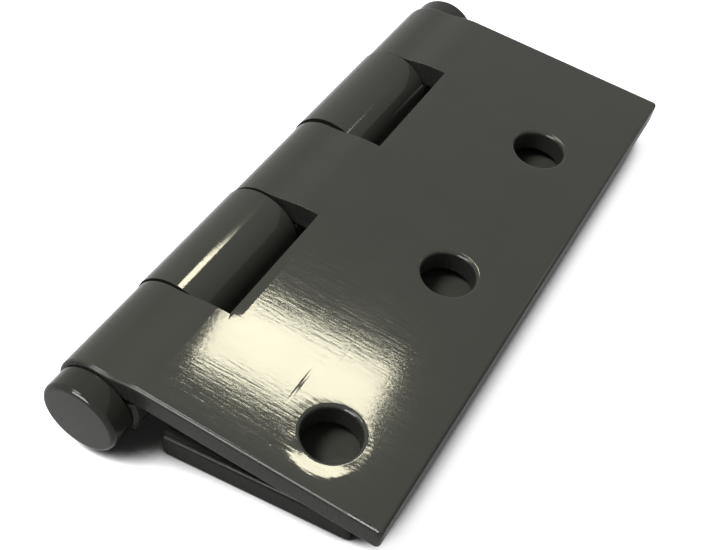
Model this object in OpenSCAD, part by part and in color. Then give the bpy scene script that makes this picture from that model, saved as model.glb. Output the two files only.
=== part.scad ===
// Closed steel butt hinge: two plain leaves curled round a headed pin, with a button tip at the far end.
// X runs from the pin towards the free edges, Y runs along the pin, and Z is up.
// The two-knuckle leaf lies flat on Z = 0, and the three-knuckle leaf is folded down onto its free edge.

/* [Leaves] */
// Length of the three-knuckle leaf along the pin
leaf_len = 75; // [70:1:110]
// Distance from the pin's axis to the free edge of the three-knuckle leaf
leaf_w = 32; // [30:0.5:50]
// How far the two-knuckle leaf's free edge stands back from the other's
width_back = 3.5; // [0:0.5:4]
// Thickness of the leaves
leaf_t = 3; // [2.4:0.1:3.6]
// How far a leaf's outer face stands proud of the two-knuckle leaf's curls
face_proud = 0.55; // [0.2:0.05:1.2]
// Radius of the rounded free edges
edge_r = 0.4; // [0.2:0.05:1]
// Radius of the leaf corners, seen square on
corner_r = 0.5; // [0.3:0.1:4]
// How far the two-knuckle leaf stands back from the other at both ends
set_back = 0.75; // [0:0.05:2]
// Gap that is left where the closed leaves almost touch
edge_gap = 0.1; // [0.05:0.05:1]

/* [Screw holes] */
// Diameter of the punched holes
hole_d = 6.1; // [4:0.1:9]
// Distance between neighbouring holes
hole_pitch = 25; // [18:0.5:27]
// Distance from the end of the three-knuckle leaf to its first hole
hole_end = 6.6; // [5.6:0.1:11]
// Distance from the three-knuckle leaf's free edge to the line of holes
hole_edge = 9.2; // [8:0.1:13]
// Radius of the rolled-over hole rims
rim_r = 0.45; // [0.2:0.05:1]

/* [Knuckles] */
// How much the three-knuckle leaf's plate is thinned where it is curled
curl_thin = 0.15; // [0.05:0.05:0.5]
// Length of each end knuckle
end_knuckle = 12.9; // [9:0.1:16]
// Length of each notch that takes a knuckle of the other leaf
notch_len = 17.5; // [14:0.1:20]
// Gap between a curl and the bottom of the notch that it sits in
notch_gap = 1.8; // [1.3:0.1:4]
// Axial gap between an end knuckle and the knuckle beside it
knuckle_gap = 0.25; // [0.1:0.05:1]
// Axial gap at each end of the middle knuckle
middle_gap = 0.55; // [0.1:0.05:1]
// Length of the shallow double bend between a curl and its leaf
bend_len = 5.5; // [3.5:0.1:6]
// Gap between the end of a curl and the underside of its leaf
seam_gap = 0.35; // [0.1:0.05:1]

/* [Pin] */
// Diameter of the pin
pin_d = 4; // [3:0.1:5]
// Clearance all round the pin in the knuckles
pin_clear = 0.05; // [0.02:0.01:0.1]
// Diameter of the pin's head and of the button tip
button_d = 8.9; // [6.5:0.1:9.6]
// Thickness of the head and of the button tip
button_t = 3; // [1.5:0.1:4]
// Radius of the rims of the head and the button tip
button_r = 0.55; // [0.2:0.05:1.2]
// Gap between a button and the knuckle that it sits against
button_gap = 0.1; // [0.05:0.01:0.4]
// Length of the button tip's plug inside the last knuckle
plug_len = 6; // [3:0.5:9]
// Gap between the pin's end and the plug
plug_gap = 0.3; // [0.1:0.1:1]
// Clearance all round the plug in its knuckle
plug_clear = 0.02; // [0.01:0.01:0.05]

/* [Hidden] */

$fn = 96;
coat = [0.29, 0.29, 0.27];
hole_count = 3;
spare = 1;
bend_steps = 12;
bend_dip = 0.02;
curl_lap = 15;
bore_r = pin_d / 2 + pin_clear;
curl_r = bore_r + leaf_t;
thin_curl_r = curl_r - curl_thin;
face_h = curl_r + face_proud;
notch_x = curl_r + notch_gap;
half_len = leaf_len / 2;
mid_knuckle = leaf_len - 2 * (end_knuckle + notch_len);

// Angle between the leaves when the two-knuckle leaf's rounded free edge almost touches the other leaf
inner_w = leaf_w - width_back;
edge_run = inner_w - edge_r;
edge_rise = face_h - leaf_t + edge_r;
touch_h = face_h - leaf_t - edge_r - edge_gap;
close_a = atan2(edge_rise, edge_run) + asin(touch_h / norm([edge_run, edge_rise]));

// Reach of the closed hinge either side of the pin, which puts the origin under the middle of the hinge
reach_out = (leaf_w - edge_r) * cos(close_a) + (face_h - edge_r) * sin(close_a) + edge_r;
pin_x = (curl_r - reach_out) / 2;

// Cuts across the knuckle line of each leaf, as pairs of start and end along the pin
outer_cuts = [
    [end_knuckle - half_len, end_knuckle + notch_len - half_len],
    [half_len - end_knuckle - notch_len, half_len - end_knuckle]
];
inner_cuts = [
    [-half_len - spare, end_knuckle + knuckle_gap - half_len],
    [-mid_knuckle / 2 - middle_gap, mid_knuckle / 2 + middle_gap],
    [half_len - end_knuckle - knuckle_gap, half_len + spare]
];

// Extrudes an outline along the pin, centred on the middle of the hinge
module along_pin(len) {
    translate([0, len / 2, 0]) rotate([90, 0, 0]) linear_extrude(len) children();
}

// Outline of the plate, with the shallow double bend that lifts it from the top of its curl
module plate_outline(r, w) {
    start_h = r - bend_dip;
    rise = face_h - start_h;
    top = [
        for (i = [0:bend_steps])
            [bend_len * i / bend_steps, start_h + rise * (1 - cos(180 * i / bend_steps)) / 2]
    ];
    under = [for (i = [bend_steps:-1:1]) top[i] - [0, leaf_t]];
    polygon(concat(top, [[w - edge_r, face_h], [w - edge_r, face_h - leaf_t]], under));
}

// Outline of a curl, from the top of the barrel back round to the seam under the leaf
module curl_outline(r) {
    seam_a = asin((face_h - leaf_t - seam_gap) / r);
    start_a = 90 - curl_lap;
    sweep = 360 + seam_a - start_a;
    wedge = [for (i = [0:8]) 2 * r * [cos(start_a + sweep * i / 8), sin(start_a + sweep * i / 8)]];
    intersection() {
        circle(r = r);
        polygon(concat([[0, 0]], wedge));
    }
}

// Bent plate before it is cut, with the pin's axis along Y and the outer face upwards
module leaf_blank(r, w, len) {
    along_pin(len) plate_outline(r, w);
    along_pin(len) curl_outline(r);
    along_pin(len)
        translate([w - edge_r - spare, face_h - leaf_t + edge_r]) square([spare + edge_r, leaf_t - 2 * edge_r]);
    for (h = [face_h - edge_r, face_h - leaf_t + edge_r])
        along_pin(len) translate([w - edge_r, h]) circle(r = edge_r);
}

// Punched screw hole with rolled-over rims on both faces
module screw_hole() {
    translate([0, 0, face_h - leaf_t - spare]) cylinder(d = hole_d, h = leaf_t + 2 * spare);
    for (side = [0, 1])
        translate([0, 0, face_h - leaf_t * side]) mirror([0, 0, side]) rotate_extrude() difference() {
            translate([hole_d / 2 - spare, -rim_r]) square([rim_r + spare, rim_r + spare]);
            translate([hole_d / 2 + rim_r, -rim_r]) circle(r = rim_r);
        }
}

// Cutter that rounds a leaf corner at the free edge, with the corner at the origin
module corner_cut() {
    difference() {
        translate([-corner_r, -corner_r, 0]) cube([corner_r + spare, corner_r + spare, face_h + spare]);
        translate([-corner_r, -corner_r, -spare]) cylinder(r = corner_r, h = face_h + 3 * spare);
    }
}

// Leaf of width w with its curls, cut to length, notched, drilled and rounded. Its first hole is at Y = row.
module leaf(r, w, len, cuts, row) {
    difference() {
        leaf_blank(r, w, len);
        along_pin(len + spare) circle(r = bore_r);
        for (c = cuts)
            translate([-2 * r, c[0], -2 * r]) cube([2 * r + notch_x, c[1] - c[0], 4 * r]);
        for (i = [0:hole_count - 1])
            translate([leaf_w - hole_edge, row + i * hole_pitch, 0]) screw_hole();
        for (side = [0, 1])
            mirror([0, side, 0]) translate([w, len / 2, 0]) corner_cut();
    }
}

// Round button with a rolled rim, standing on Z = 0
module button() {
    rotate_extrude() {
        square([button_d / 2 - button_r, button_t]);
        square([button_d / 2, button_t - button_r]);
        translate([button_d / 2 - button_r, button_t - button_r]) circle(r = button_r);
    }
}

// Upper leaf, closed onto the lower one, with knuckles 1, 3 and 5
module three_knuckle_leaf() {
    color(coat)
        translate([pin_x, 0, face_h]) rotate([0, close_a, 0])
            leaf(thin_curl_r, leaf_w, leaf_len, outer_cuts, hole_end - half_len);
}

// Lower leaf with knuckles 2 and 4, and its holes stepped the other way
module two_knuckle_leaf() {
    inner_len = leaf_len - 2 * set_back;
    row = half_len - hole_end - (hole_count - 1) * hole_pitch;
    color(coat)
        translate([pin_x, 0, face_h]) mirror([0, 0, 1])
            leaf(curl_r, inner_w, inner_len, inner_cuts, row);
}

// Pin through all five knuckles, with its head at the near end
module hinge_pin() {
    shank = button_gap + leaf_len - plug_len - plug_gap;
    color(coat)
        translate([pin_x, -half_len - button_gap, face_h]) {
            rotate([90, 0, 0]) button();
            rotate([-90, 0, 0]) cylinder(d = pin_d, h = shank);
        }
}

// Button tip, whose plug fills the end of the last knuckle beyond the pin
module end_tip() {
    color(coat)
        translate([pin_x, half_len + button_gap, face_h]) {
            rotate([-90, 0, 0]) button();
            rotate([90, 0, 0]) cylinder(r = bore_r - plug_clear, h = plug_len + button_gap);
        }
}

three_knuckle_leaf();
two_knuckle_leaf();
hinge_pin();
end_tip();
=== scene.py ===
import math

import bmesh
import bpy
from mathutils import Matrix, Vector


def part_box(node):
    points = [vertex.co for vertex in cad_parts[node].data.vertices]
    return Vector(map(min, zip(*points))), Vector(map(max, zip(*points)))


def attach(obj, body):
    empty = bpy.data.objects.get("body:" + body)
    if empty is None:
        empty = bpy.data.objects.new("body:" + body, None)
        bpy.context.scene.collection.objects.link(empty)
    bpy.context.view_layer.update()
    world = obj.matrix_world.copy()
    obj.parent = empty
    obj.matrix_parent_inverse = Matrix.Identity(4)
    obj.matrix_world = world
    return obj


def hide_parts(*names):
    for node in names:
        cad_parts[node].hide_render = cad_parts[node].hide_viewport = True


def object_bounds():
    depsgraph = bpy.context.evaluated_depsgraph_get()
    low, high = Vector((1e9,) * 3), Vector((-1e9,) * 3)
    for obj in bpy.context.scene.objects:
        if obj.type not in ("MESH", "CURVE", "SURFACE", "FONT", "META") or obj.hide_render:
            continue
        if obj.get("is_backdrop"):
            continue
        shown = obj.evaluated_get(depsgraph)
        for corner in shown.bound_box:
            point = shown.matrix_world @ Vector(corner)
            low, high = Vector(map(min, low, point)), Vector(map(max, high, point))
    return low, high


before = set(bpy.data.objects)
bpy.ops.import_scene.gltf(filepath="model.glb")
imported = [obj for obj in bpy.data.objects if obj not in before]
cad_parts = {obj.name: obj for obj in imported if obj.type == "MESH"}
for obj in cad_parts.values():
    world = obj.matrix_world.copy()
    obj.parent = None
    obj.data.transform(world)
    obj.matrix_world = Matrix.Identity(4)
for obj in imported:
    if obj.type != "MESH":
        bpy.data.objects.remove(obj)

bl_info = {
    "name": "Closed Butt Hinge",
    "version": (1, 0, 0),
    "blender": (4, 5, 0),
    "location": "View3D > Sidebar > Hinge",
    "description": "Builds a powder-coated steel butt hinge, closed, with its studio",
    "category": "Add Mesh",
}

MM = 0.001
CAD_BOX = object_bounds()
PIN_LOW, PIN_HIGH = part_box("hinge_pin")
UPPER_LOW, UPPER_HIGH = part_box("three_knuckle_leaf")
LOWER_LOW, LOWER_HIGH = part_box("two_knuckle_leaf")
TIP_LOW, TIP_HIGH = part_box("end_tip")

# How finely the round shapes are divided
HOLE_SIDE_STEPS = 16
DISH_RINGS = 8
BEND_STEPS = 14
CURL_STEP = math.radians(4.5)
BUTTON_STEPS = 96

# Half widths of the square cells that the holes are punched in
UPPER_CELL = 5.5 * MM
LOWER_CELL = 4.9 * MM

# Rings of faces round a hole: how far the widest keeps from its cell's sides, and the widest dish
CELL_MARGIN = 0.15 * MM
WIDEST_DISH = 4.95 * MM

# How close two places are that count as one: for finding edges, for a place on a line, and for merging points
NEAR = 0.01 * MM
ON_LINE = 1e-6
MERGE = 1e-7

# Clearance all round the end tip's plug, and the radii of a button's back rim and of its shank's end
PLUG_CLEAR = 0.02 * MM
BACK_RIM = 0.2 * MM
SHANK_RIM = 0.25 * MM

# The coat's refraction, and the level of its reflections on the faces and on the two leaves' sheared edges
COAT_IOR = 1.5
FACE_LEVEL = 0.12
UPPER_EDGE_LEVEL = 0.1
LOWER_EDGE_LEVEL = 0.045

# Shares of the colours that the pin's coat and the two leaves' sheared edges take: darker, as painted shade
PIN_SHADE_SHARE = 0.6
UPPER_EDGE_SHADE_SHARE = 0.8
LOWER_EDGE_SHADE_SHARE = 0.6

# Scratches and nicks in the upper leaf's outer face: X and Y from the pin's axis in mm, turn in degrees,
# half length, half width and depth in mm
SCRATCHES = (
    (17.36, -27.9, 90, 2.9, 0.22, 0.020),
    (19.03, -22.0, 90, 2.1, 0.12, 0.004),
    (12.0, -30.55, 0.7, 5.2, 0.10, 0.004),
    (18.59, -35.27, 20, 0.3, 0.2, 0.004),
    (3.12, -7.09, 30, 0.4, 0.2, 0.008),
    (4.11, -3.72, 60, 0.5, 0.2, 0.008),
    (0.22, -35.49, 10, 0.4, 0.2, 0.008),
    (7.29, -7.01, 120, 0.4, 0.15, 0.008),
)
SCRATCH_REACH = 0.5 * MM

# White paper under the hinge: its colour, its colour in the painted shadow near the hinge, and how strongly
# it mirrors in the coat
PAPER = (0.65, 0.65, 0.65, 1)
PAPER_SHADOW = (0.06, 0.06, 0.056, 1)
PAPER_MIRRORED = 0.38
# The paper's glow in the painted shadow and in the open, and how far and with how many rays the painted
# shadow looks for the hinge
PAPER_GLOW = (0.007, 0.85)
SHADOW_REACH = 14 * MM
SHADOW_SAMPLES = 32

# How open the paper is where its painted shadow is darkest, where its glow starts, and where neither changes
# any more
SHADOW_OPEN = 0.28
GLOW_OPEN = 0.36
FULLY_OPEN = 0.54

# Where the camera stands, what it looks at, its roll and its focal length in mm
EYE = Vector((45.998, -86.688, 91.625)) * MM
AIM = Vector((1.413, -12.556, 8.534)) * MM
ROLL = math.radians(-1.825)
FOCAL_LENGTH = 57.495

# Places that the lamps' reflections show at: on the upper leaf, on a knuckle and on the near edge
GLARE_SPOT = Vector((3.357, -27.2, 8.163)) * MM
KNUCKLE_SPOT = Vector((-11.0, 12.0, 9.8)) * MM
EDGE_SPOT = Vector((0, -37.3, 7.5)) * MM


def size(name, about, value):
    """A length property, with its default given in millimetres."""
    return bpy.props.FloatProperty(
        name=name, description=about, default=value * MM, min=0.0, precision=5,
        unit="LENGTH", subtype="DISTANCE",
    )


def tint(name, about, value):
    """A colour property."""
    return bpy.props.FloatVectorProperty(
        name=name, description=about, default=value, subtype="COLOR", size=3, min=0, max=1,
    )


def power(name, about, value):
    """A lamp's power."""
    return bpy.props.FloatProperty(name=name, description=about, default=value, min=0, unit="POWER")


class HingeSizes(bpy.types.PropertyGroup):
    """Sizes of the two leaves and the pin."""

    leaf_w: size("Leaf Width", "Distance from the pin's axis to the three-knuckle leaf's free edge", 32)
    width_back: size("Width Step", "How far the two-knuckle leaf's free edge stands back", 3.5)
    leaf_t: size("Leaf Thickness", "Thickness of the plate", 3)
    face_h: size("Face Height", "Height of a leaf's outer face above the pin's axis", 5.6)
    bore_r: size("Bore Radius", "Radius of the bore through the knuckles", 2.05)
    curl_r: size("Barrel Radius", "Outer radius of the two-knuckle leaf's curls", 5.05)
    thin_curl_r: size("Thinned Barrel Radius", "Outer radius of the three-knuckle leaf's curls", 4.9)
    bend_len: size("Bend Length", "Length of the shallow double bend beside a curl", 5.5)
    seam_gap: size("Seam Gap", "Gap between the end of a curl and the plate above it", 0.35)
    end_knuckle: size("End Knuckle", "Length of each end knuckle", 12.9)
    notch_len: size("Notch Length", "Length of each notch in the three-knuckle leaf", 17.5)
    notch_x: size("Notch Depth", "Distance from the pin's axis to the bottom of a notch", 6.85)
    knuckle_gap: size("Knuckle Gap", "Gap between an end knuckle and the knuckle beside it", 0.25)
    middle_gap: size("Middle Gap", "Gap at each end of the middle knuckle", 0.55)
    hole_r: size("Hole Radius", "Radius of the screw holes", 3.05)
    hole_edge: size("Hole Edge Distance", "Distance from the free edge to the line of holes", 9.2)
    hole_end: size("Hole End Distance", "Distance from the end of the longer leaf to its first hole", 6.6)
    hole_pitch: size("Hole Pitch", "Distance between neighbouring holes", 25)
    rim_r: size("Hole Rim Radius", "Radius of the rolled-over rims of the holes", 0.45)
    dish_r: size("Hole Dish Radius", "Mean radius of the shallow dish round a hole", 4.4)
    dish_long: size("Hole Dish Stretch", "How much further the dish reaches towards the near left", 0.6)
    edge_r: size("Edge Radius", "Radius of the leaves' outer edges", 0.65)
    corner_r: size("Corner Radius", "Radius of the leaves' corners", 0.5)
    notch_edge_r: size("Notch Edge Radius", "Radius of the notches' outer edges", 0.25)
    notch_inner_r: size("Notch Inner Edge Radius", "Radius of the notches' inner edges", 0.13)
    notch_droop: size("Notch Droop", "How far the plate sinks at the bottom of a notch", 0.06)
    droop_w: size("Droop Width", "Width of the sunk strip beside a notch", 1.2)
    pin_r: size("Pin Radius", "Radius of the pin", 2)
    button_r: size("Button Radius", "Radius of the pin's head and the end tip", 4.45)
    button_t: size("Button Thickness", "Thickness of the head and the end tip", 3)
    button_rim: size("Button Rim", "Radius of the rim of the head and the end tip", 0.55)
    close_a: bpy.props.FloatProperty(
        name="Closing Angle", description="Tilt of the upper leaf when it rests on the lower one",
        default=math.radians(10.35553), subtype="ANGLE",
    )


class HingeFinish(bpy.types.PropertyGroup):
    """Colours and gloss of the powder coat."""

    coat: tint("Coat", "Colour of the powder coat", (0.0450, 0.0463, 0.0378))
    coat_thin: tint("Thin Coat", "Colour where the coat is thinner", (0.0530, 0.0543, 0.0450))
    # The sheared edges' colour is darker than the coat's, as painted shade on their faces
    sheared: tint("Sheared Edge", "Colour of the coat on the sheared edges", (0.030, 0.031, 0.027))
    gloss: bpy.props.FloatProperty(
        name="Roughness", description="Roughness of the coat", default=0.07, min=0.02, max=1,
        subtype="FACTOR",
    )


class StudioSettings(bpy.types.PropertyGroup):
    """Strengths of the studio's lamps."""

    glare: power("Window Lamp", "Power of the small warm lamp", 0.85)
    overhead: power("Overhead", "Power of the overhead softbox", 1.45)
    side: power("Side Lamp", "Power of the narrow lamp at the far right", 0.055)
    edge: power("Edge Lamp", "Power of the lamp that lines the near edges", 10.5)
    room: bpy.props.FloatProperty(
        name="Room", description="Strength of the room's even light", default=0.35, min=0, max=2,
    )


def new_piece(name, bm, materials, body, node):
    """Makes the bmesh an object that stands for a CAD node."""
    mesh = bpy.data.meshes.new(name)
    for face in bm.faces:
        face.smooth = True
    bm.to_mesh(mesh)
    bm.free()
    for material in materials:
        mesh.materials.append(material)
    piece = bpy.data.objects.new(name, mesh)
    bpy.context.scene.collection.objects.link(piece)
    shading = piece.modifiers.new("even_shading", "WEIGHTED_NORMAL")
    shading.mode = "FACE_AREA"
    shading.weight = 60
    shading.keep_sharp = True
    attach(piece, body)
    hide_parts(node)


def split_at(bm, faces, point, normal):
    """Cuts the given faces along a plane."""
    geom = set(faces)
    for face in faces:
        geom.update(face.verts)
        geom.update(face.edges)
    bmesh.ops.bisect_plane(bm, geom=list(geom), plane_co=point, plane_no=normal)


def faces_where(bm, test):
    """Faces whose centre passes the test."""
    return [face for face in bm.faces if test(face.calc_center_median())]


def flat_edge(edge):
    """True for an edge that lies level."""
    return abs(edge.verts[0].co.z - edge.verts[1].co.z) < NEAR


def sharp_edge(edge):
    """True where two faces meet at more than about fifty degrees."""
    return len(edge.link_faces) == 2 and edge.calc_face_angle(0.0) > math.radians(50)


def bevel_edges(bm, edges, radius, segments):
    """Rounds the edges."""
    bmesh.ops.bevel(
        bm, geom=edges, offset=radius, offset_type="OFFSET", affect="EDGES", segments=segments,
        profile=0.5, material=-1, clamp_overlap=True,
    )


def punch_hole(bm, s, x, y, half):
    """Insets the square cell round a hole's centre into rings down to the hole, and takes out the middle."""
    cell = min(bm.faces, key=lambda face: (face.calc_center_median() - Vector((x, y, 0))).length)
    square = list(cell.edges)
    bmesh.ops.delete(bm, geom=[cell], context="FACES_ONLY")
    half += ON_LINE
    bmesh.ops.subdivide_edges(bm, edges=square, cuts=HOLE_SIDE_STEPS - 1)
    square = [
        edge for edge in bm.edges
        if edge.is_boundary and all(abs(v.co.x - x) < half and abs(v.co.y - y) < half for v in edge.verts)
    ]
    cell = bmesh.ops.contextual_create(bm, geom=square)["faces"][0]
    widest = half - CELL_MARGIN
    dish_start = min(widest, WIDEST_DISH) - 0.1 * MM
    dish_end = s.hole_r + s.rim_r + 0.05 * MM
    dish = [dish_start + (dish_end - dish_start) * i / DISH_RINGS for i in range(DISH_RINGS + 1)]
    for radius in [widest] + dish + [s.hole_r]:
        bmesh.ops.inset_individual(bm, faces=[cell], thickness=0.02 * MM, depth=0.0)
        cell.normal_update()
        ring = [corner.vert for corner in cell.loops]
        first = max(range(len(ring)), key=lambda i: ring[i].co.x + ring[i].co.y)
        way = 1 if cell.normal.z > 0 else -1
        for i in range(len(ring)):
            turn = math.pi / 4 + way * i * 2 * math.pi / len(ring)
            ring[(first + i) % len(ring)].co.xy = (x + radius * math.cos(turn), y + radius * math.sin(turn))
    bmesh.ops.delete(bm, geom=[cell], context="FACES_ONLY")


def flat_leaf(s, width, length, wrap, cuts, first_hole, half):
    """The leaf as a flat blank: cut to length, notched, punched, given its thickness and rounded."""
    bm = bmesh.new()
    whole = Matrix.Translation(((width - wrap) / 2, 0, 0)) @ Matrix.Diagonal((width + wrap, length, 1, 1))
    bmesh.ops.create_grid(bm, x_segments=1, y_segments=1, size=0.5, matrix=whole)
    split_at(bm, bm.faces[:], (s.notch_x, 0, 0), (1, 0, 0))
    for low, high in cuts:
        for y in (low, high):
            if abs(y) < length / 2:
                split_at(bm, faces_where(bm, lambda c: c.x < s.notch_x), (0, y, 0), (0, 1, 0))
    gone = faces_where(bm, lambda c: c.x < s.notch_x and any(low < c.y < high for low, high in cuts))
    bmesh.ops.delete(bm, geom=gone, context="FACES")
    hole_x = s.leaf_w - s.hole_edge
    holes = [(hole_x, first_hole + i * s.hole_pitch) for i in range(3)]
    for x in (hole_x - half, hole_x + half):
        split_at(bm, faces_where(bm, lambda c: c.x > s.notch_x), (x, 0, 0), (1, 0, 0))
    for _, y in holes:
        for side in (y - half, y + half):
            split_at(bm, faces_where(bm, lambda c: c.x > s.notch_x), (0, side, 0), (0, 1, 0))
    for x, y in holes:
        punch_hole(bm, s, x, y, half)
    bmesh.ops.remove_doubles(bm, verts=bm.verts[:], dist=MERGE)
    grown = bmesh.ops.extrude_face_region(bm, geom=bm.faces[:])["geom"]
    moved = [item for item in grown if isinstance(item, bmesh.types.BMVert)]
    bmesh.ops.translate(bm, verts=moved, vec=(0, 0, -s.leaf_t))
    bmesh.ops.recalc_face_normals(bm, faces=bm.faces[:])
    for face in bm.faces:
        face.material_index = 0 if abs(face.normal.z) > 0.5 else 1

    round_blank(bm, s, width, length / 2, holes)
    dish_holes(bm, s, holes)
    droop_notches(bm, s, cuts)
    return bm


def round_blank(bm, s, width, end, holes):
    """Rounds the corners, the hole rims, the outer edges and the edges of the notches of a flat blank."""
    corners = [
        edge for edge in bm.edges
        if not flat_edge(edge) and all(v.co.x > width - NEAR and abs(v.co.y) > end - NEAR for v in edge.verts)
    ]
    bevel_edges(bm, corners, s.corner_r, segments=6)
    reach = s.corner_r + NEAR
    rims = [
        edge for edge in bm.edges
        if flat_edge(edge) and sharp_edge(edge)
        and any(abs((v.co.xy - Vector(hole)).length - s.hole_r) < NEAR for hole in holes for v in edge.verts)
    ]
    bevel_edges(bm, rims, s.rim_r, segments=5)
    outer = [
        edge for edge in bm.edges
        if flat_edge(edge) and sharp_edge(edge)
        and (
            all(abs(v.co.y) > end - NEAR for v in edge.verts)
            or all(v.co.x > width - reach for v in edge.verts)
        )
    ]
    bevel_edges(bm, outer, s.edge_r, segments=5)

    def notch_edges(at_height):
        """Sharp level edges of the notches and the knuckles' ends, on one face of the blank."""
        return [
            edge for edge in bm.edges
            if flat_edge(edge) and sharp_edge(edge) and at_height(edge.verts[0].co.z)
            and all(v.co.x < s.notch_x + NEAR and abs(v.co.y) < end - NEAR for v in edge.verts)
        ]

    bevel_edges(bm, notch_edges(lambda z: z > -NEAR), s.notch_edge_r, segments=4)
    bevel_edges(bm, notch_edges(lambda z: z < NEAR - s.leaf_t), s.notch_inner_r, segments=2)


def dish_holes(bm, s, holes):
    """Sinks the outer face round each hole into a shallow dish, steepest on the near side."""
    slope = math.tan(math.radians(3))
    widest = 1.3 * s.dish_r
    far_share = 0.25
    long_way = math.radians(115)
    near_way = math.radians(78)
    for v in bm.verts:
        for hole in holes:
            out = v.co.xy - Vector(hole)
            if v.co.z > -s.leaf_t / 2 and out.length < widest:
                way = math.atan2(out.y, out.x)
                reach = s.dish_r + s.dish_long * math.cos(way + long_way)
                near_side = min(1.0, max(0.0, 3.5 * math.cos(way + near_way) - 2.1))
                # The dish's outline is a little uneven
                reach += 0.05 * MM * math.sin(5 * way + 1) + 0.04 * MM * math.sin(11 * way)
                share = far_share + (1 - far_share) * near_side
                v.co.z -= slope * share * max(0.0, reach - out.length)


def droop_notches(bm, s, cuts):
    """Lets the outer face sink a little in a strip beside the bottom of each notch."""
    fade = 1.5 * MM
    for part in (1.0, 0.9, 0.6, 0.3):
        across = s.notch_x + part * s.droop_w
        split_at(bm, faces_where(bm, lambda c: c.x > s.notch_x), (across, 0, 0), (1, 0, 0))
    for low, high in cuts:
        for inset in (0.0, 0.5 * MM, 1.0 * MM, fade):
            for y in (low + inset, high - inset):
                strip = faces_where(bm, lambda c: s.notch_x - MM < c.x < s.notch_x + s.droop_w)
                split_at(bm, strip, (0, y, 0), (0, 1, 0))
    for v in bm.verts:
        for low, high in cuts:
            if v.co.z > -s.leaf_t / 2 and low < v.co.y < high and v.co.x < s.notch_x + s.droop_w:
                away = (v.co.x - s.notch_x) / s.droop_w
                ends = min(1.0, (v.co.y - low) / fade, (high - v.co.y) / fade)
                v.co.z -= s.notch_droop * (1 - max(0.0, away)) * ends * ends * (3 - 2 * ends)


def roll_leaf(bm, s, radius, wrap):
    """Cuts the blank finely beside its knuckle edge, and rolls it round the pin's axis."""
    step = radius * CURL_STEP
    places = [-step * (i + 1) for i in range(int(wrap / step))]
    places += [s.bend_len * i / BEND_STEPS for i in range(BEND_STEPS + 1)]
    for x in places:
        split_at(bm, bm.faces[:], (x, 0, 0), (1, 0, 0))
    bmesh.ops.dissolve_degenerate(bm, dist=MERGE, edges=bm.edges[:])
    wall = radius - s.bore_r
    rise = s.face_h - radius
    for v in bm.verts:
        deep = -v.co.z / s.leaf_t
        if v.co.x < 0:
            turn = math.pi / 2 - v.co.x / radius
            reach = radius - deep * wall
            v.co.x, v.co.z = reach * math.cos(turn), reach * math.sin(turn)
        else:
            part = 1.0
            if v.co.x < s.bend_len:
                part = (1 - math.cos(math.pi * v.co.x / s.bend_len)) / 2
            v.co.z = radius + rise * part - deep * (wall + (s.leaf_t - wall) * part)


def wrap_length(s, radius):
    """Length of plate that goes into a curl."""
    return radius * (math.radians(270) + math.asin((s.face_h - s.leaf_t - s.seam_gap) / radius))


def pin_axis():
    """A point on the pin's axis, at the middle of the hinge."""
    low, high = Vector(PIN_LOW), Vector(PIN_HIGH)
    return Vector(((low.x + high.x) / 2, 0, (low.z + high.z) / 2))


def add_node(tree, kind, inputs=None, **settings):
    """Adds a shader node, with its settings and its unlinked inputs."""
    node = tree.nodes.new(kind)
    for name, value in settings.items():
        setattr(node, name, value)
    for name, value in (inputs or {}).items():
        node.inputs[name].default_value = value
    return node


def new_coat(name, level):
    """A material's node tree for a coat, its shader, and the place on the piece that its patterns follow."""
    material = bpy.data.materials.new(name)
    material.use_nodes = True
    tree = material.node_tree
    shader = tree.nodes["Principled BSDF"]
    shader.inputs["IOR"].default_value = COAT_IOR
    shader.inputs["Specular IOR Level"].default_value = level
    where = add_node(tree, "ShaderNodeTexCoord").outputs["Object"]
    return material, tree, shader, where


def noise(tree, where, scale, detail, rough):
    """A noise pattern."""
    node = add_node(tree, "ShaderNodeTexNoise", {"Scale": scale, "Detail": detail, "Roughness": rough})
    tree.links.new(where, node.inputs["Vector"])
    return node.outputs["Fac"]


def stretched(tree, where, scale):
    """The place on the piece, with its axes scaled, so that a pattern runs one way."""
    node = add_node(tree, "ShaderNodeMapping", {"Scale": scale})
    tree.links.new(where, node.inputs["Vector"])
    return node.outputs["Vector"]


def patchy_colour(tree, shader, patches, first, second):
    """Colours the coat between two tints, as the patches go."""
    colour = add_node(tree, "ShaderNodeMix", data_type="RGBA")
    colour.inputs["A"].default_value = (*first, 1)
    colour.inputs["B"].default_value = (*second, 1)
    tree.links.new(patches, colour.inputs["Factor"])
    tree.links.new(colour.outputs["Result"], shader.inputs["Base Color"])


def patchy_gloss(tree, shader, pattern, low, high):
    """Lets the roughness go between two values, as the pattern goes."""
    rough = add_node(
        tree, "ShaderNodeMapRange", {"From Min": 0.3, "From Max": 0.7, "To Min": low, "To Max": high},
    )
    tree.links.new(pattern, rough.inputs["Value"])
    tree.links.new(rough.outputs["Result"], shader.inputs["Roughness"])


def bumped(tree, height, depth, under=None):
    """The normal of a surface that a pattern makes uneven, over another such surface if one is given."""
    bump = add_node(tree, "ShaderNodeBump", {"Strength": 1.0, "Distance": depth})
    tree.links.new(height, bump.inputs["Height"])
    if under is not None:
        tree.links.new(under, bump.inputs["Normal"])
    return bump.outputs["Normal"]


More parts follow.
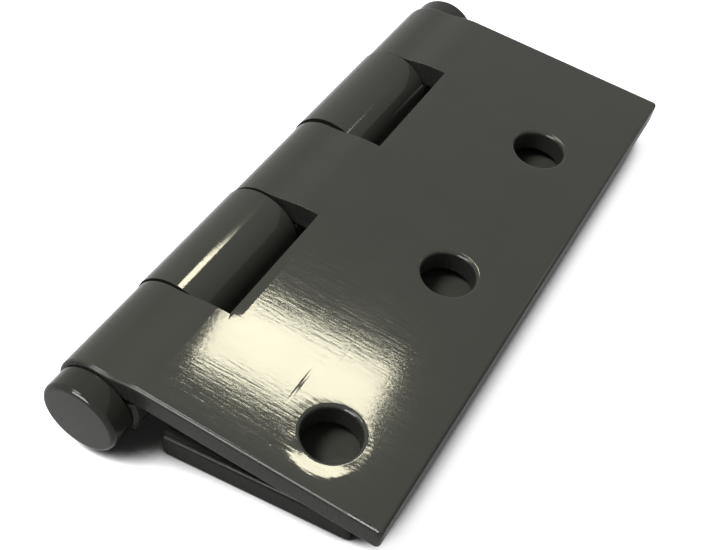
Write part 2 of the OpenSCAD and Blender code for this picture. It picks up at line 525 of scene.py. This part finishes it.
def powder_coat(name, finish, tilt=0.0, marks=(), share=1.0):
    """Semi-gloss powder coat: fine orange peel, streaks across the leaf, thin patches and a few scratches."""
    material, tree, shader, where = new_coat(name, FACE_LEVEL)
    level = add_node(tree, "ShaderNodeMapping", {"Rotation": (0, tilt, 0)}, vector_type="TEXTURE")
    tree.links.new(where, level.inputs["Vector"])
    level = level.outputs["Vector"]

    patches = noise(tree, level, scale=140.0, detail=4.0, rough=0.6)
    # A share below one darkens the whole coat, as painted shade on the pin
    thick, thin = ([share * c for c in colour] for colour in (finish.coat, finish.coat_thin))
    patchy_colour(tree, shader, patches, thick, thin)

    streaks = noise(tree, stretched(tree, level, (1.0, 9.0, 9.0)), scale=330.0, detail=2.0, rough=0.6)
    patchy_gloss(tree, shader, streaks, low=finish.gloss * 0.8, high=finish.gloss * 1.3)
    surface = bumped(tree, streaks, depth=0.0045 * MM)
    peel = noise(tree, level, scale=2300.0, detail=3.0, rough=0.5)
    surface = bumped(tree, peel, depth=0.0025 * MM, under=surface)
    for place, turn, half_len, half_w, depth in marks:
        spot = add_node(
            tree, "ShaderNodeMapping",
            {"Location": place, "Rotation": (0, 0, turn), "Scale": (half_len, half_w, SCRATCH_REACH)},
            vector_type="TEXTURE",
        )
        tree.links.new(level, spot.inputs["Vector"])
        away = add_node(tree, "ShaderNodeVectorMath", operation="LENGTH")
        tree.links.new(spot.outputs["Vector"], away.inputs[0])
        # The groove gets shallower evenly from its middle, and ends at its outline
        groove = add_node(tree, "ShaderNodeMapRange")
        tree.links.new(away.outputs["Value"], groove.inputs["Value"])
        surface = bumped(tree, groove.outputs["Result"], depth, under=surface)
    tree.links.new(surface, shader.inputs["Normal"])
    return material


def sheared_edge(name, finish, share, level):
    """Coat over sheared plate edges: duller, and darker as painted shade on their faces, with fine shear
    marks through the thickness.
    """
    material, tree, shader, where = new_coat(name, level)
    patches = noise(tree, where, scale=260.0, detail=3.0, rough=0.6)
    dark, light = ([part * share * c for c in finish.sheared] for part in (0.85, 1.2))
    patchy_colour(tree, shader, patches, dark, light)
    marks = noise(tree, stretched(tree, where, (1.0, 1.0, 0.15)), scale=1800.0, detail=3.0, rough=0.6)
    patchy_gloss(tree, shader, marks, low=0.22, high=0.36)
    tree.links.new(bumped(tree, marks, depth=0.006 * MM), shader.inputs["Normal"])
    return material


def leaf_marks(s, axis):
    """The scratches in the upper leaf's outer face: place, turn, half length, half width and depth."""
    origin = Matrix.Rotation(-s.close_a, 3, "Y") @ axis
    return [
        (origin + Vector((x, y, s.face_h / MM)) * MM, math.radians(turn), long * MM, wide * MM, deep * MM)
        for x, y, turn, long, wide, deep in SCRATCHES
    ]


class HINGE_OT_leaves(bpy.types.Operator):
    """Builds both leaves, each as a flat blank whose edge is rolled into knuckles"""

    bl_idname = "hinge.leaves"
    bl_label = "Leaves"

    def execute(self, context):
        s = context.scene.hinge_sizes
        finish = context.scene.hinge_finish
        axis = pin_axis()
        half = (UPPER_HIGH[1] - UPPER_LOW[1]) / 2
        outer_cuts = [
            (s.end_knuckle - half, s.end_knuckle + s.notch_len - half),
            (half - s.end_knuckle - s.notch_len, half - s.end_knuckle),
        ]
        wrap = wrap_length(s, s.thin_curl_r)
        bm = flat_leaf(s, s.leaf_w, 2 * half, wrap, outer_cuts, s.hole_end - half, UPPER_CELL)
        roll_leaf(bm, s, s.thin_curl_r, wrap)
        place = Matrix.Translation(axis) @ Matrix.Rotation(s.close_a, 4, "Y")
        bmesh.ops.transform(bm, matrix=place, verts=bm.verts[:])
        bmesh.ops.recalc_face_normals(bm, faces=bm.faces[:])
        upper = powder_coat("upper_coat", finish, s.close_a, leaf_marks(s, axis))
        # The upper leaf's sheared edges take a darker copy of the coat: painted shade
        cut = sheared_edge("upper_sheared_shaded_coat", finish, UPPER_EDGE_SHADE_SHARE, UPPER_EDGE_LEVEL)
        new_piece("upper_leaf_plate", bm, (upper, cut), "upper_leaf", "three_knuckle_leaf")

        mid = half - s.end_knuckle - s.notch_len
        inner_cuts = [
            (-half - MM, s.end_knuckle + s.knuckle_gap - half),
            (-mid - s.middle_gap, mid + s.middle_gap),
            (half - s.end_knuckle - s.knuckle_gap, half + MM),
        ]
        length = LOWER_HIGH[1] - LOWER_LOW[1]
        wrap = wrap_length(s, s.curl_r)
        first = half - s.hole_end - 2 * s.hole_pitch
        bm = flat_leaf(s, s.leaf_w - s.width_back, length, wrap, inner_cuts, first, LOWER_CELL)
        # The rounded ends of the lower leaf look as dull as its sheared edges, and take their darker colour,
        # painted shadow under the upper leaf
        for face in bm.faces:
            if abs(face.normal.z) < 0.99 and abs(face.calc_center_median().y) > length / 2 - MM:
                face.material_index = 1
        roll_leaf(bm, s, s.curl_r, wrap)
        place = Matrix.Translation(axis) @ Matrix.Diagonal((1, 1, -1, 1))
        bmesh.ops.transform(bm, matrix=place, verts=bm.verts[:])
        bmesh.ops.recalc_face_normals(bm, faces=bm.faces[:])
        lower = powder_coat("lower_coat", finish)
        # The lower leaf's sheared edges are darker still: painted shadow under the upper leaf
        cut = sheared_edge("lower_sheared_shaded_coat", finish, LOWER_EDGE_SHADE_SHARE, LOWER_EDGE_LEVEL)
        new_piece("lower_leaf_plate", bm, (lower, cut), "lower_leaf", "two_knuckle_leaf")
        return {"FINISHED"}


def spun_button(s, shank_r, shank_len):
    """A button with a shank, spun about Z: the button's back is at Z = 0 and the shank goes down."""
    bm = bmesh.new()
    outline = [
        (0, s.button_t), (s.button_r, s.button_t), (s.button_r, 0),
        (shank_r, 0), (shank_r, -shank_len), (0, -shank_len),
    ]
    points = [bm.verts.new((r, 0, h)) for r, h in outline]
    for a, b in zip(points, points[1:]):
        bm.edges.new((a, b))
    bmesh.ops.spin(
        bm, geom=bm.verts[:] + bm.edges[:], cent=(0, 0, 0), axis=(0, 0, 1), dvec=(0, 0, 0),
        angle=2 * math.pi, steps=BUTTON_STEPS, use_merge=True, use_duplicate=False,
    )
    bmesh.ops.remove_doubles(bm, verts=bm.verts[:], dist=MERGE)
    bmesh.ops.recalc_face_normals(bm, faces=bm.faces[:])
    for radius, height, rim, segments in (
        (s.button_r, s.button_t, s.button_rim, 8),
        (s.button_r, 0, BACK_RIM, 3),
        (shank_r, -shank_len, SHANK_RIM, 3),
    ):
        rims = [
            edge for edge in bm.edges
            if all(abs(v.co.xy.length - radius) < ON_LINE for v in edge.verts)
            and all(abs(v.co.z - height) < ON_LINE for v in edge.verts)
        ]
        bevel_edges(bm, rims, rim, segments)
    return bm


class HINGE_OT_pin(bpy.types.Operator):
    """Builds the headed pin and the end tip"""

    bl_idname = "hinge.pin"
    bl_label = "Pin and Tip"

    def execute(self, context):
        s = context.scene.hinge_sizes
        finish = context.scene.hinge_finish
        # The pin's coat is a darker copy of the leaves' coat: painted shade on the head and the tip
        coat = powder_coat("pin_coat", finish, share=PIN_SHADE_SHARE)
        axis = pin_axis()
        back = PIN_LOW[1] + s.button_t
        bm = spun_button(s, s.pin_r, PIN_HIGH[1] - back)
        place = Matrix.Translation((axis.x, back, axis.z)) @ Matrix.Rotation(math.pi / 2, 4, "X")
        bmesh.ops.transform(bm, matrix=place, verts=bm.verts[:])
        new_piece("headed_pin", bm, (coat,), "upper_leaf", "hinge_pin")

        back = TIP_HIGH[1] - s.button_t
        bm = spun_button(s, s.bore_r - PLUG_CLEAR, back - TIP_LOW[1])
        place = Matrix.Translation((axis.x, back, axis.z)) @ Matrix.Rotation(-math.pi / 2, 4, "X")
        bmesh.ops.transform(bm, matrix=place, verts=bm.verts[:])
        new_piece("button_tip", bm, (coat,), "upper_leaf", "end_tip")
        return {"FINISHED"}


def aimed(location, target, roll=0.0):
    """Matrix of something at a place that looks at a target, turned about its line of sight."""
    back = (Vector(location) - Vector(target)).normalized()
    right = Vector((0, 0, 1)).cross(back).normalized()
    up = back.cross(right)
    turn = Matrix((right, up, back)).transposed().to_4x4()
    return Matrix.Translation(location) @ turn @ Matrix.Rotation(roll, 4, "Z")


def area_lamp(name, location, target, wide, high, watts, colour, glint=False):
    """A rectangular lamp. A glint only shows as a reflection, and adds no light to what it shines on."""
    lamp = bpy.data.lights.new(name, "AREA")
    lamp.shape = "RECTANGLE"
    lamp.size = wide
    lamp.size_y = high
    lamp.energy = watts
    lamp.color = colour
    holder = bpy.data.objects.new(name, lamp)
    holder.matrix_world = aimed(location, target)
    holder.visible_diffuse = not glint
    holder.visible_camera = False
    bpy.context.scene.collection.objects.link(holder)


def white_paper():
    """White paper for the floor, with a painted shadow near the hinge that darkens its colour and its glow,
    and white where the camera sees it.
    """
    paper = bpy.data.materials.new("white_paper")
    paper.use_nodes = True
    tree = paper.node_tree
    link = tree.links.new
    tree.nodes.remove(tree.nodes["Principled BSDF"])
    nook = add_node(tree, "ShaderNodeAmbientOcclusion", {"Distance": SHADOW_REACH}, samples=SHADOW_SAMPLES)

    open_share = add_node(tree, "ShaderNodeMapRange", {"From Min": SHADOW_OPEN, "From Max": FULLY_OPEN})
    link(nook.outputs["AO"], open_share.inputs["Value"])
    # Painted shadow: the paper's colour darkens where the hinge closes it in
    shade = add_node(tree, "ShaderNodeMix", data_type="RGBA")
    shade.inputs["A"].default_value = PAPER_SHADOW
    shade.inputs["B"].default_value = PAPER
    link(open_share.outputs["Result"], shade.inputs["Factor"])
    matt = add_node(tree, "ShaderNodeBsdfDiffuse")
    link(shade.outputs["Result"], matt.inputs["Color"])

    path = add_node(tree, "ShaderNodeLightPath")
    mirrored = add_node(tree, "ShaderNodeMath", {1: PAPER_MIRRORED}, operation="MULTIPLY")
    link(path.outputs["Is Glossy Ray"], mirrored.inputs[0])
    seen = add_node(tree, "ShaderNodeMath", operation="MAXIMUM")
    link(path.outputs["Is Camera Ray"], seen.inputs[0])
    link(mirrored.outputs["Value"], seen.inputs[1])
    dark, bright = PAPER_GLOW
    # The glow dims in the same painted shadow
    glow_share = add_node(
        tree, "ShaderNodeMapRange",
        {"From Min": GLOW_OPEN, "From Max": FULLY_OPEN, "To Min": dark, "To Max": bright},
    )
    link(nook.outputs["AO"], glow_share.inputs["Value"])
    lift = add_node(tree, "ShaderNodeMath", operation="MULTIPLY")
    link(seen.outputs["Value"], lift.inputs[0])
    link(glow_share.outputs["Result"], lift.inputs[1])
    glow = add_node(tree, "ShaderNodeEmission", {"Color": (1, 1, 1, 1)})
    link(lift.outputs["Value"], glow.inputs["Strength"])

    both = add_node(tree, "ShaderNodeAddShader")
    link(matt.outputs["BSDF"], both.inputs[0])
    link(glow.outputs["Emission"], both.inputs[1])
    link(both.outputs["Shader"], tree.nodes["Material Output"].inputs["Surface"])
    return paper


def paper_floor():
    """The floor that the hinge lies on."""
    bm = bmesh.new()
    bmesh.ops.create_grid(bm, x_segments=1, y_segments=1, size=2.0)
    mesh = bpy.data.meshes.new("floor")
    bm.to_mesh(mesh)
    bm.free()
    mesh.materials.append(white_paper())
    floor = bpy.data.objects.new("floor", mesh)
    bpy.context.scene.collection.objects.link(floor)
    floor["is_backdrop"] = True


def room_light(strength):
    """Even light of the given strength, from a room that shows white."""
    world = bpy.data.worlds.new("studio_room")
    bpy.context.scene.world = world
    world.use_nodes = True
    tree = world.node_tree
    link = tree.links.new
    room = tree.nodes["Background"]
    room.inputs["Color"].default_value = (1, 1, 1, 1)
    path = add_node(tree, "ShaderNodeLightPath")
    seen = add_node(tree, "ShaderNodeMath", operation="MAXIMUM")
    link(path.outputs["Is Camera Ray"], seen.inputs[0])
    link(path.outputs["Is Glossy Ray"], seen.inputs[1])
    clear = add_node(tree, "ShaderNodeMath", operation="MAXIMUM")
    link(seen.outputs["Value"], clear.inputs[0])
    link(path.outputs["Is Transmission Ray"], clear.inputs[1])
    level = add_node(tree, "ShaderNodeMapRange", {"To Min": strength, "To Max": 1.0})
    link(clear.outputs["Value"], level.inputs["Value"])
    link(level.outputs["Result"], room.inputs["Strength"])


def product_camera():
    """The camera at the photograph's angle."""
    lens = bpy.data.cameras.new("product_camera")
    lens.sensor_width = 36.0
    lens.lens = FOCAL_LENGTH
    lens.clip_start = 0.005
    lens.clip_end = 10.0
    camera = bpy.data.objects.new("product_camera", lens)
    camera.matrix_world = aimed(EYE, AIM, ROLL)
    bpy.context.scene.collection.objects.link(camera)
    bpy.context.scene.camera = camera


class HINGE_OT_stage(bpy.types.Operator):
    """Builds the floor, the room light, the lamps and the camera"""

    bl_idname = "hinge.stage"
    bl_label = "Studio"

    def execute(self, context):
        studio = context.scene.hinge_studio
        paper_floor()
        room_light(studio.room)
        area_lamp(
            "warm_lamp", GLARE_SPOT + 0.4 * Vector((-0.100, 0.5445, 0.833)), GLARE_SPOT,
            wide=0.084, high=0.038, watts=studio.glare, colour=(1.0, 0.955, 0.72), glint=True,
        )
        area_lamp(
            "overhead_softbox", (-0.11, -0.14, 0.37), (0, 0, 0),
            wide=0.16, high=0.10, watts=studio.overhead, colour=(1, 1, 1),
        )
        area_lamp(
            "side_lamp", KNUCKLE_SPOT + 0.5 * Vector((0.42, 0.66, 0.62)), KNUCKLE_SPOT,
            wide=0.022, high=0.06, watts=studio.side, colour=(1.0, 0.98, 0.85), glint=True,
        )
        area_lamp(
            "edge_lamp", EDGE_SPOT + 0.5 * Vector((-0.19, -0.86, 0.46)), EDGE_SPOT,
            wide=0.30, high=0.28, watts=studio.edge, colour=(1, 1, 0.97), glint=True,
        )
        product_camera()
        context.scene.view_settings.view_transform = "Standard"
        return {"FINISHED"}


class HINGE_PT_panel(bpy.types.Panel):
    """Lists the hinge's builders"""

    bl_label = "Butt Hinge"
    bl_idname = "HINGE_PT_panel"
    bl_space_type = "VIEW_3D"
    bl_region_type = "UI"
    bl_category = "Hinge"

    def draw(self, context):
        column = self.layout.column()
        for builder in BUILDERS:
            column.operator(builder.bl_idname)
        for group in (context.scene.hinge_sizes, context.scene.hinge_finish, context.scene.hinge_studio):
            for name in group.__annotations__:
                column.prop(group, name)


BUILDERS = (HINGE_OT_leaves, HINGE_OT_pin, HINGE_OT_stage)
CLASSES = (HingeSizes, HingeFinish, StudioSettings, *BUILDERS, HINGE_PT_panel)


def register():
    """Registers the classes and hangs the settings on the scene."""
    for cls in CLASSES:
        bpy.utils.register_class(cls)
    bpy.types.Scene.hinge_sizes = bpy.props.PointerProperty(type=HingeSizes)
    bpy.types.Scene.hinge_finish = bpy.props.PointerProperty(type=HingeFinish)
    bpy.types.Scene.hinge_studio = bpy.props.PointerProperty(type=StudioSettings)


def unregister():
    """Takes the settings and the classes away again."""
    del bpy.types.Scene.hinge_studio
    del bpy.types.Scene.hinge_finish
    del bpy.types.Scene.hinge_sizes
    for cls in reversed(CLASSES):
        bpy.utils.unregister_class(cls)


def main():
    """Builds the hinge and its studio."""
    register()
    bpy.ops.hinge.leaves()
    bpy.ops.hinge.pin()
    bpy.ops.hinge.stage()
    boxes = {"cad": CAD_BOX, "visual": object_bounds()}
    boxes = {name: [[float(x) for x in corner] for corner in box] for name, box in boxes.items()}


if __name__ == "__main__":
    main()
